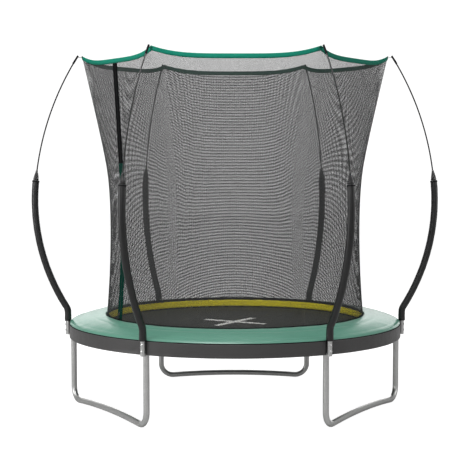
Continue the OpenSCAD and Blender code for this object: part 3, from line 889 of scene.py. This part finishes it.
padVinyl = vinylFinish("padVinyl", linear(86, 140, 121), 0.34, linear(120, 178, 156), coat=0.15,
                       thread=linear(60, 120, 100), lines=(1.6195,))
bm = spinProfile(padOutline(), pad["steps"])
bm.normal_update()
moves = []
for vert in bm.verts:
    radius, angle = vert.co.xy.length, math.atan2(vert.co.y, vert.co.x)
    x, y = math.cos(angle), math.sin(angle)
    topSide = max(0, vert.normal.z)
    soft = noise.noise(Vector((x * 3.1, y * 3.1, radius * 9)))
    pull = noise.noise(Vector((x * 14, y * 14, radius * 4 + 5)))       # short folds across the pad
    tight = noise.noise(Vector((x * 42, y * 42, radius * 12 + 9)))
    edge = math.exp(-((radius - 1.19) / 0.03) ** 2) + math.exp(-((radius - 0.985) / 0.03) ** 2)
    lift = pad["creases"] * topSide * (soft * 0.9 + pull * (0.35 + 0.5 * edge) + tight * 0.22 * edge) - 0.0006
    moves.append(vert.normal * lift)
for vert, move in zip(bm.verts, moves):
    vert.co += move
    vert.co = clearOfSleeves(vert.co)
padPiece = makePiece(bm, "safetyPad", padVinyl, "pad_vinyl", replaced=["pad"])

skirt = {
    "radius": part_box("pad_skirt")[1].x, "low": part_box("pad_skirt")[0].z, "high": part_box("pad_skirt")[1].z,
    "slot": 0.026, "thickness": 0.0014, "foldUp": 0.011, "foldShare": 6 / 7}
skirtVinyl = vinylFinish("skirtVinyl", linear(64, 63, 63), 0.38, linear(98, 96, 96), coat=0.10,
                         thread=greyThread, lines=(0.0045, 0.0885))
bm = bmesh.new()
arc = sector - skirt["slot"] / skirt["radius"]
tall = skirt["high"] - skirt["low"]
for i in range(poleCount):
    strip = cutCloth(arc * skirt["radius"], tall, skirt["thickness"], 120, 14)

    def placeSkirt(co):
        angle = sector * i + skirt["slot"] / 2 / skirt["radius"] + co.x / skirt["radius"]
        hang = 1 - co.y / tall
        wave = 0.0020 * hang * noise.noise(Vector((math.cos(angle) * 9, math.sin(angle) * 9, co.y * 6)))
        wave += 0.0007 * noise.noise(Vector((math.cos(angle) * 34, math.sin(angle) * 34, co.y * 22)))
        layers = 1 + skirt["foldShare"] if co.y < skirt["foldUp"] else 1
        radius = skirt["radius"] - skirt["thickness"] + wave + co.z * layers - 0.0010 * hang
        return polar(radius, angle, skirt["low"] + co.y)
    wrap(strip, placeSkirt)
    moveInto(bm, strip)
skirtPiece = makePiece(bm, "padSkirt", skirtVinyl, "skirt_vinyl", replaced=["pad_skirt"])

seam = {"radius": skirt["radius"] - 0.0016, "height": skirt["high"] + 0.0012, "thick": 0.0032}
bm = spinProfile(roundOutline(seam["radius"], seam["height"], seam["thick"], 8), pad["steps"])
for vert in bm.verts:
    vert.co = clearOfSleeves(vert.co)
makePiece(bm, "padPiping", blackWebbing, "black_webbing")
print("pad made")


# Elastic straps under the pad, hooked round the ring

tie = {"width": 0.020, "thick": 0.0014, "ring": 0.0214, "from": rad(75), "turn": rad(215)}
bm = bmesh.new()
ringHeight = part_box("rail_1")[1].z - 0.021
for i in range(poleCount):
    for offset in (15, 45):
        strip = cutCloth(tie["turn"], tie["width"], tie["thick"], 28, 4)
        middle = sector * i + rad(offset)

        def placeTie(co):
            around = tie["from"] + co.x
            radius = tie["ring"] + 0.0001 + co.z
            out = ringRadius + radius * math.cos(around)
            across = polar(co.y - tie["width"] / 2, middle + rad(90))
            return polar(out, middle, ringHeight + radius * math.sin(around)) + across
        wrap(strip, placeTie)
        moveInto(bm, strip)
makePiece(bm, "padTies", blackWebbing, "black_webbing", replaced=["pad_ties"])
print("pad ties made")


# Mat and springs, in wedges between the ring and the middle

mat = {
    "radius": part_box("mat")[1].x, "z": (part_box("mat")[0].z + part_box("mat")[1].z) / 2, "thickness": 0.002,
    "webbing": 0.040, "webbingDepth": 0.0015, "hold": 1.182}
edgeWebbing = webbingFinish("edgeWebbing", linear(24, 24, 25), pitch=0.0025, thread=greyThread,
                            lines=(0.005, 0.0115, 0.0285, 0.035))


def dish(piece, angle):                             # bakes the piece's placement into its mesh
    polar(mat["hold"], angle, mat["z"])
    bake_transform(piece)


wedgeHalf = math.pi / wedges
for k in range(wedges):
    middle = firstWedge + 2 * wedgeHalf * k
    bm = cutCloth(2 * wedgeHalf, mat["radius"], mat["thickness"], 8, 26)
    wrap(bm, lambda co: polar(co.y, middle - wedgeHalf + co.x, mat["z"] - mat["thickness"] / 2 + co.z))
    bmesh.ops.remove_doubles(bm, verts=bm.verts, dist=0.00001)
    piece = makePiece(bm, f"matCloth_{k + 1:02}", matWeave, "mat_weave", body=None, replaced=["mat"],
                      crisp=True)
    dish(piece, middle)

    bm = cutCloth(2 * wedgeHalf * mat["radius"], mat["webbing"], mat["webbingDepth"], 8, 6)
    top = mat["z"] + mat["thickness"] / 2 + 0.0001
    wrap(bm, lambda co: polar(mat["radius"] - mat["webbing"] + co.y,
                              middle - wedgeHalf + co.x / mat["radius"], top + co.z))
    piece = makePiece(bm, f"matEdge_{k + 1:02}", edgeWebbing, "black_webbing", body=None,
                      replaced=["mat_webbing"])
    dish(piece, middle)
print("mat made")

spring = {
    "wire": 0.0015, "coil": 0.0064, "start": 1.041, "end": 1.149, "turns": 30, "perTurn": 10, "hook": 1.1835,
    "vTip": 1.0195, "bar": mat["radius"] + 0.008, "barHalf": 0.0185, "tab": 0.028, "count": 48}


def makeSpring():
    bm = bmesh.new()
    z = mat["z"]
    circle = bmesh.ops.create_circle(bm, segments=6, radius=spring["wire"], cap_ends=False)["verts"]
    shift(bm, (spring["start"], 0, z + spring["coil"]), circle)
    edges = list({edge for vert in circle for edge in vert.link_edges})
    bmesh.ops.rotate(bm, cent=(spring["start"], 0, z + spring["coil"]),
                     matrix=Matrix.Rotation(rad(90), 3, "X"), verts=circle)
    steps = spring["turns"] * spring["perTurn"]
    bmesh.ops.spin(bm, geom=circle + edges, cent=(0, 0, z), axis=(1, 0, 0), angle=math.tau * spring["turns"],
                   dvec=((spring["end"] - spring["start"]) / steps, 0, 0), steps=steps)
    bmesh.ops.holes_fill(bm, edges=[edge for edge in bm.edges if edge.is_boundary], sides=6)
    hook = spring["hook"]
    outer = [(spring["end"], 0, z + spring["coil"]), (spring["end"] + 0.003, 0, z + 0.0035),
             (spring["end"] + 0.008, 0, z), (hook - 0.012, 0, z + 0.0008), (hook - 0.005, 0, z + 0.0018),
             (hook, 0, z + 0.0008), (hook + 0.0022, 0, z - 0.0022), (hook + 0.0025, 0, z - 0.0055)]
    tip = spring["vTip"]
    inner = [(spring["start"], 0, z + spring["coil"]), (spring["start"] - 0.003, 0, z + 0.0045),
             (spring["start"] - 0.008, 0, z + 0.0036), (tip, 0, z + 0.0034), (tip - 0.0034, 0, z + 0.0014),
             (tip - 0.0038, 0, z - 0.0012), (tip - 0.0022, 0, z - 0.0032), (tip + 0.0008, 0, z - 0.0036),
             (tip + 0.0030, 0, z - 0.0026)]
    for path in (outer, inner):
        moveInto(bm, wire(path, spring["wire"]))
    return bm


def makeLink():                                     # three-sided wire ring between a tab and a spring
    corner, bar, tip, z = 0.003, spring["bar"], spring["vTip"] - 0.0005, mat["z"]
    wide = spring["barHalf"]
    path = [(bar, -wide + corner, z), (bar, wide - corner, z), (bar + corner * 0.4, wide - 0.0007, z),
            (bar + corner, wide, z), (tip - 0.004, 0.0036, z), (tip - 0.001, 0.0022, z), (tip, 0, z),
            (tip - 0.001, -0.0022, z), (tip - 0.004, -0.0036, z), (bar + corner, -wide, z),
            (bar + corner * 0.4, -wide + 0.0007, z)]
    return wire(path, spring["wire"], cyclic=True)


def makeTab():                                      # webbing folded round the ring's straight side
    length, bar, z, gap = 0.060, spring["bar"], mat["z"], 0.0026
    strip = cutCloth(length, spring["tab"], 0.0014, 22, 4)

    def place(co):
        along, across = co.x - length / 2, co.y - spring["tab"] / 2
        fold = math.pi * gap / 2
        if abs(along) < fold:
            bend, radius = along / gap, gap + co.z
            return Vector((bar + radius * math.cos(bend), across, z + radius * math.sin(bend)))
        side = 1 if along > 0 else -1
        back = abs(along) - fold
        pinch = min(1, back / 0.012)
        height = (gap + co.z) * (1 - 0.28 * pinch)
        return Vector((bar - back, across, z + side * height))
    wrap(strip, place)
    return strip


springMesh, linkMesh, tabMesh = makeSpring(), makeLink(), makeTab()
moveInto(springMesh, linkMesh)
springStep = math.tau / spring["count"]
for k in range(wedges):
    middle = firstWedge + 2 * wedgeHalf * k
    first = math.ceil((middle - wedgeHalf) / springStep - 0.5)
    angles = [(first + 0.5) * springStep, (first + 1.5) * springStep]
    for kind, source, material, slot, nodes in (
            ("springs", springMesh, springSteel, "spring_steel", ["springs", "v_rings"]),
            ("matTabs", tabMesh, blackWebbing, "black_webbing", ["mat_tabs"])):
        bm = bmesh.new()
        for angle in angles:
            one = source.copy()
            turn(one, angle)
            moveInto(bm, one)
        piece = makePiece(bm, f"{kind}_{k + 1:02}", material, slot, body=None, replaced=nodes)
        dish(piece, middle)
springMesh.free()
tabMesh.free()
print("springs made")


# White cross, one arm to a wedge

cross = {"length": 0.525, "width": 0.050, "depth": 0.0008}
tapeWhite = webbingFinish("crossTape", linear(238, 238, 234), pitch=0.0025,
                          thread=linear(206, 206, 202), lines=(0.0025, 0.0475))
level = mat["z"] + mat["thickness"] / 2 + 0.0001
inner = cross["width"] / 2
for k in range(4):
    angle = firstWedge + rad(90) * k
    bm = cutCloth(cross["length"] / 2 - inner, cross["width"], cross["depth"], 16, 4)
    wrap(bm, lambda co: polar(inner + co.x, angle, level + co.z) + polar(co.y - inner, angle + rad(90)))
    piece = makePiece(bm, f"crossArm_{k + 1}", tapeWhite, "white_tape", body=None, replaced=["mat_cross"])
    dish(piece, angle)
bm = cutCloth(cross["width"], cross["width"], cross["depth"], 4, 4)
shift(bm, (-inner, -inner, level))
turn(bm, firstWedge)
makePiece(bm, "crossMiddle", tapeWhite, "white_tape", body="mat", replaced=["mat_cross"])
print("cross made")


# Floor, lights and camera

def makeFloor():
    bm = bmesh.new()
    bmesh.ops.create_grid(bm, x_segments=1, y_segments=1, size=30)
    mesh = bpy.data.meshes.new("floor")
    bm.to_mesh(mesh)
    bm.free()
    finish = Finish("paleFloor", (0.42, 0.42, 0.42, 1), 0.9, Emission_Color=(1, 1, 1, 1))
    rays = finish.nodes.new("ShaderNodeLightPath").outputs
    glow = finish.math("ADD", finish.math("MULTIPLY", rays["Is Camera Ray"], 0.93),
                       finish.math("MULTIPLY", rays["Is Glossy Ray"], 0.16))
    finish.links.new(glow, finish.bsdf.inputs["Emission Strength"])
    mesh.materials.append(finish.done())
    floor = bpy.data.objects.new("floor", mesh)
    bpy.context.scene.collection.objects.link(floor)


def softBox(name, place, size, power, target=(0, 0, 1.0)):
    light = bpy.data.lights.new(name, "AREA")
    light.shape = "RECTANGLE"
    light.size, light.size_y = size
    light.energy = power
    lamp = bpy.data.objects.new(name, light)
    lamp.location = place
    lamp.rotation_euler = (Vector(target) - Vector(place)).to_track_quat("-Z", "Y").to_euler()
    lamp.visible_camera = False
    bpy.context.scene.collection.objects.link(lamp)


def makeWorld(seen, mirrored, ambient):             # white behind, soft in reflections, dim all round
    world = bpy.data.worlds.new("studio")
    world.use_nodes = True
    nodes, links = world.node_tree.nodes, world.node_tree.links
    back = nodes["Background"]
    path = nodes.new("ShaderNodeLightPath")
    level = ambient
    for ray, share in (("Is Glossy Ray", mirrored), ("Is Camera Ray", seen)):
        mix = nodes.new("ShaderNodeMix")
        links.new(path.outputs[ray], mix.inputs[0])
        if isinstance(level, bpy.types.NodeSocket):
            links.new(level, mix.inputs[2])
        else:
            mix.inputs[2].default_value = level
        mix.inputs[3].default_value = share
        level = mix.outputs[0]
    links.new(level, back.inputs["Strength"])
    back.inputs["Color"].default_value = (1, 1, 1, 1)
    bpy.context.scene.world = world


def makeCamera():
    data = bpy.data.cameras.new("camera")
    data.sensor_width = 36
    data.lens = 101.2
    camera = bpy.data.objects.new("camera", data)
    camera.location = (-0.077, -9.786, 1.852)
    camera.rotation_euler = (rad(90 - 3.58), 0, rad(-0.45))
    bpy.context.scene.collection.objects.link(camera)
    bpy.context.scene.camera = camera


makeFloor()
softBox("topLight", (-0.4, 0.6, 6.0), (4, 4), 55)
softBox("keyLight", (-1.2, -3.3, 6.4), (3.0, 2.4), 300)
softBox("leftLight", (-5.4, -2.6, 2.2), (2.4, 3.4), 98)
softBox("rightLight", (5.4, -1.6, 2.6), (1.2, 3.2), 45)
softBox("frontLight", (-1.2, -7.5, 3.0), (4.0, 2.0), 50)
softBox("backLight", (0.4, 6.0, 2.0), (9.0, 1.8), 95, target=(0, 0, 0.6))
softBox("innerLight", (0, -0.25, 2.15), (1.2, 0.8), 26, target=(0, 1.3, 0.9))
makeWorld(seen=1.1, mirrored=0.40, ambient=0.16)
makeCamera()
bpy.context.scene.view_settings.view_transform = "Standard"

print("scene ready")
